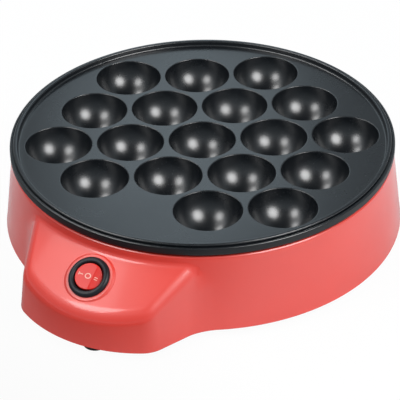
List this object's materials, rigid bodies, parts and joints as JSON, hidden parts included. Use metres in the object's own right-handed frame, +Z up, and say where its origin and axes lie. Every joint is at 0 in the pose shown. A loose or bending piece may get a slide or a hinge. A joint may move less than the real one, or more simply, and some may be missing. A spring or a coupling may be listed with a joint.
{
  "type": "electric ball-pancake maker",
  "caption": "Low round electric cooker with a cast plate of half-round cups, a tapered red housing and a sloped control box that carries a rocker switch.",
  "frame": {"origin": "on the table under the feet, below the middle of the whole footprint", "axes": "+Z up, -Y towards the control box and the user, +X to the user's right"},
  "size_m": [0.2234, 0.2516, 0.0557],
  "materials": {
    "red_plastic": "glossy moulded plastic",
    "nonstick": "cast, with a satin black non-stick coating",
    "black_plastic": "fine moulded texture",
    "switch_black": "glossy moulded plastic",
    "switch_red": "glossy moulded plastic",
    "rubber": "soft matte rubber",
    "steel": "plain zinc-plated",
    "element_steel": "heat-dulled",
    "brass": "plain",
    "ceramic": "off-white ceramic or moulding",
    "lead_brown": "sleeved wire",
    "lead_blue": "sleeved wire",
    "lead_black": "sleeved wire"
  },
  "bodies": {
    "root": {"housing": "red_plastic", "cooking_plate": "nonstick", "base_cover": "black_plastic", "feet": "rubber", "base_screws": "steel", "heating_element": "element_steel", "element_pins": "steel", "element_bushes": "ceramic", "element_clips": "steel", "clip_screws": "steel", "heat_shield": "steel", "plate_spacers": "steel", "plate_screws": "steel", "shield_screws": "steel", "thermostat": "ceramic", "thermostat_tabs": "brass", "thermostat_bracket": "steel", "bracket_screws": "steel", "lead_bush": "ceramic", "thermal_fuse": "ceramic", "terminal_block": "ceramic", "terminal_clamps": "brass", "cord_gland": "rubber", "switch_body": "switch_black", "switch_terminals": "brass", "lead_live": "lead_brown", "lead_neutral": "lead_blue", "lead_switch": "lead_black", "lead_heater": "lead_black"},
    "rocker": {"switch_rocker": "switch_red", "rocker_spring": "steel", "rocker_plunger": "brass"},
    "contact": {"contact_blade": "brass"}
  },
  "joints": [
    {"name": "rocker_tilt", "type": "hinge", "parent": "root", "child": "rocker", "pos_m": [0, -0.1073, 0.03586], "axis": [0, 0.8387, 0.5446], "range_deg": [-16, 0]},
    {"name": "blade_tilt", "type": "hinge", "parent": "root", "child": "contact", "pos_m": [0, -0.10142, 0.0268], "axis": [0, 0.8387, 0.5446], "range_deg": [-0.1, 9.7]}
  ],
  "couplings": [
    {"joint": "blade_tilt", "follows": "rocker_tilt", "ratio": -0.6}
  ]
}
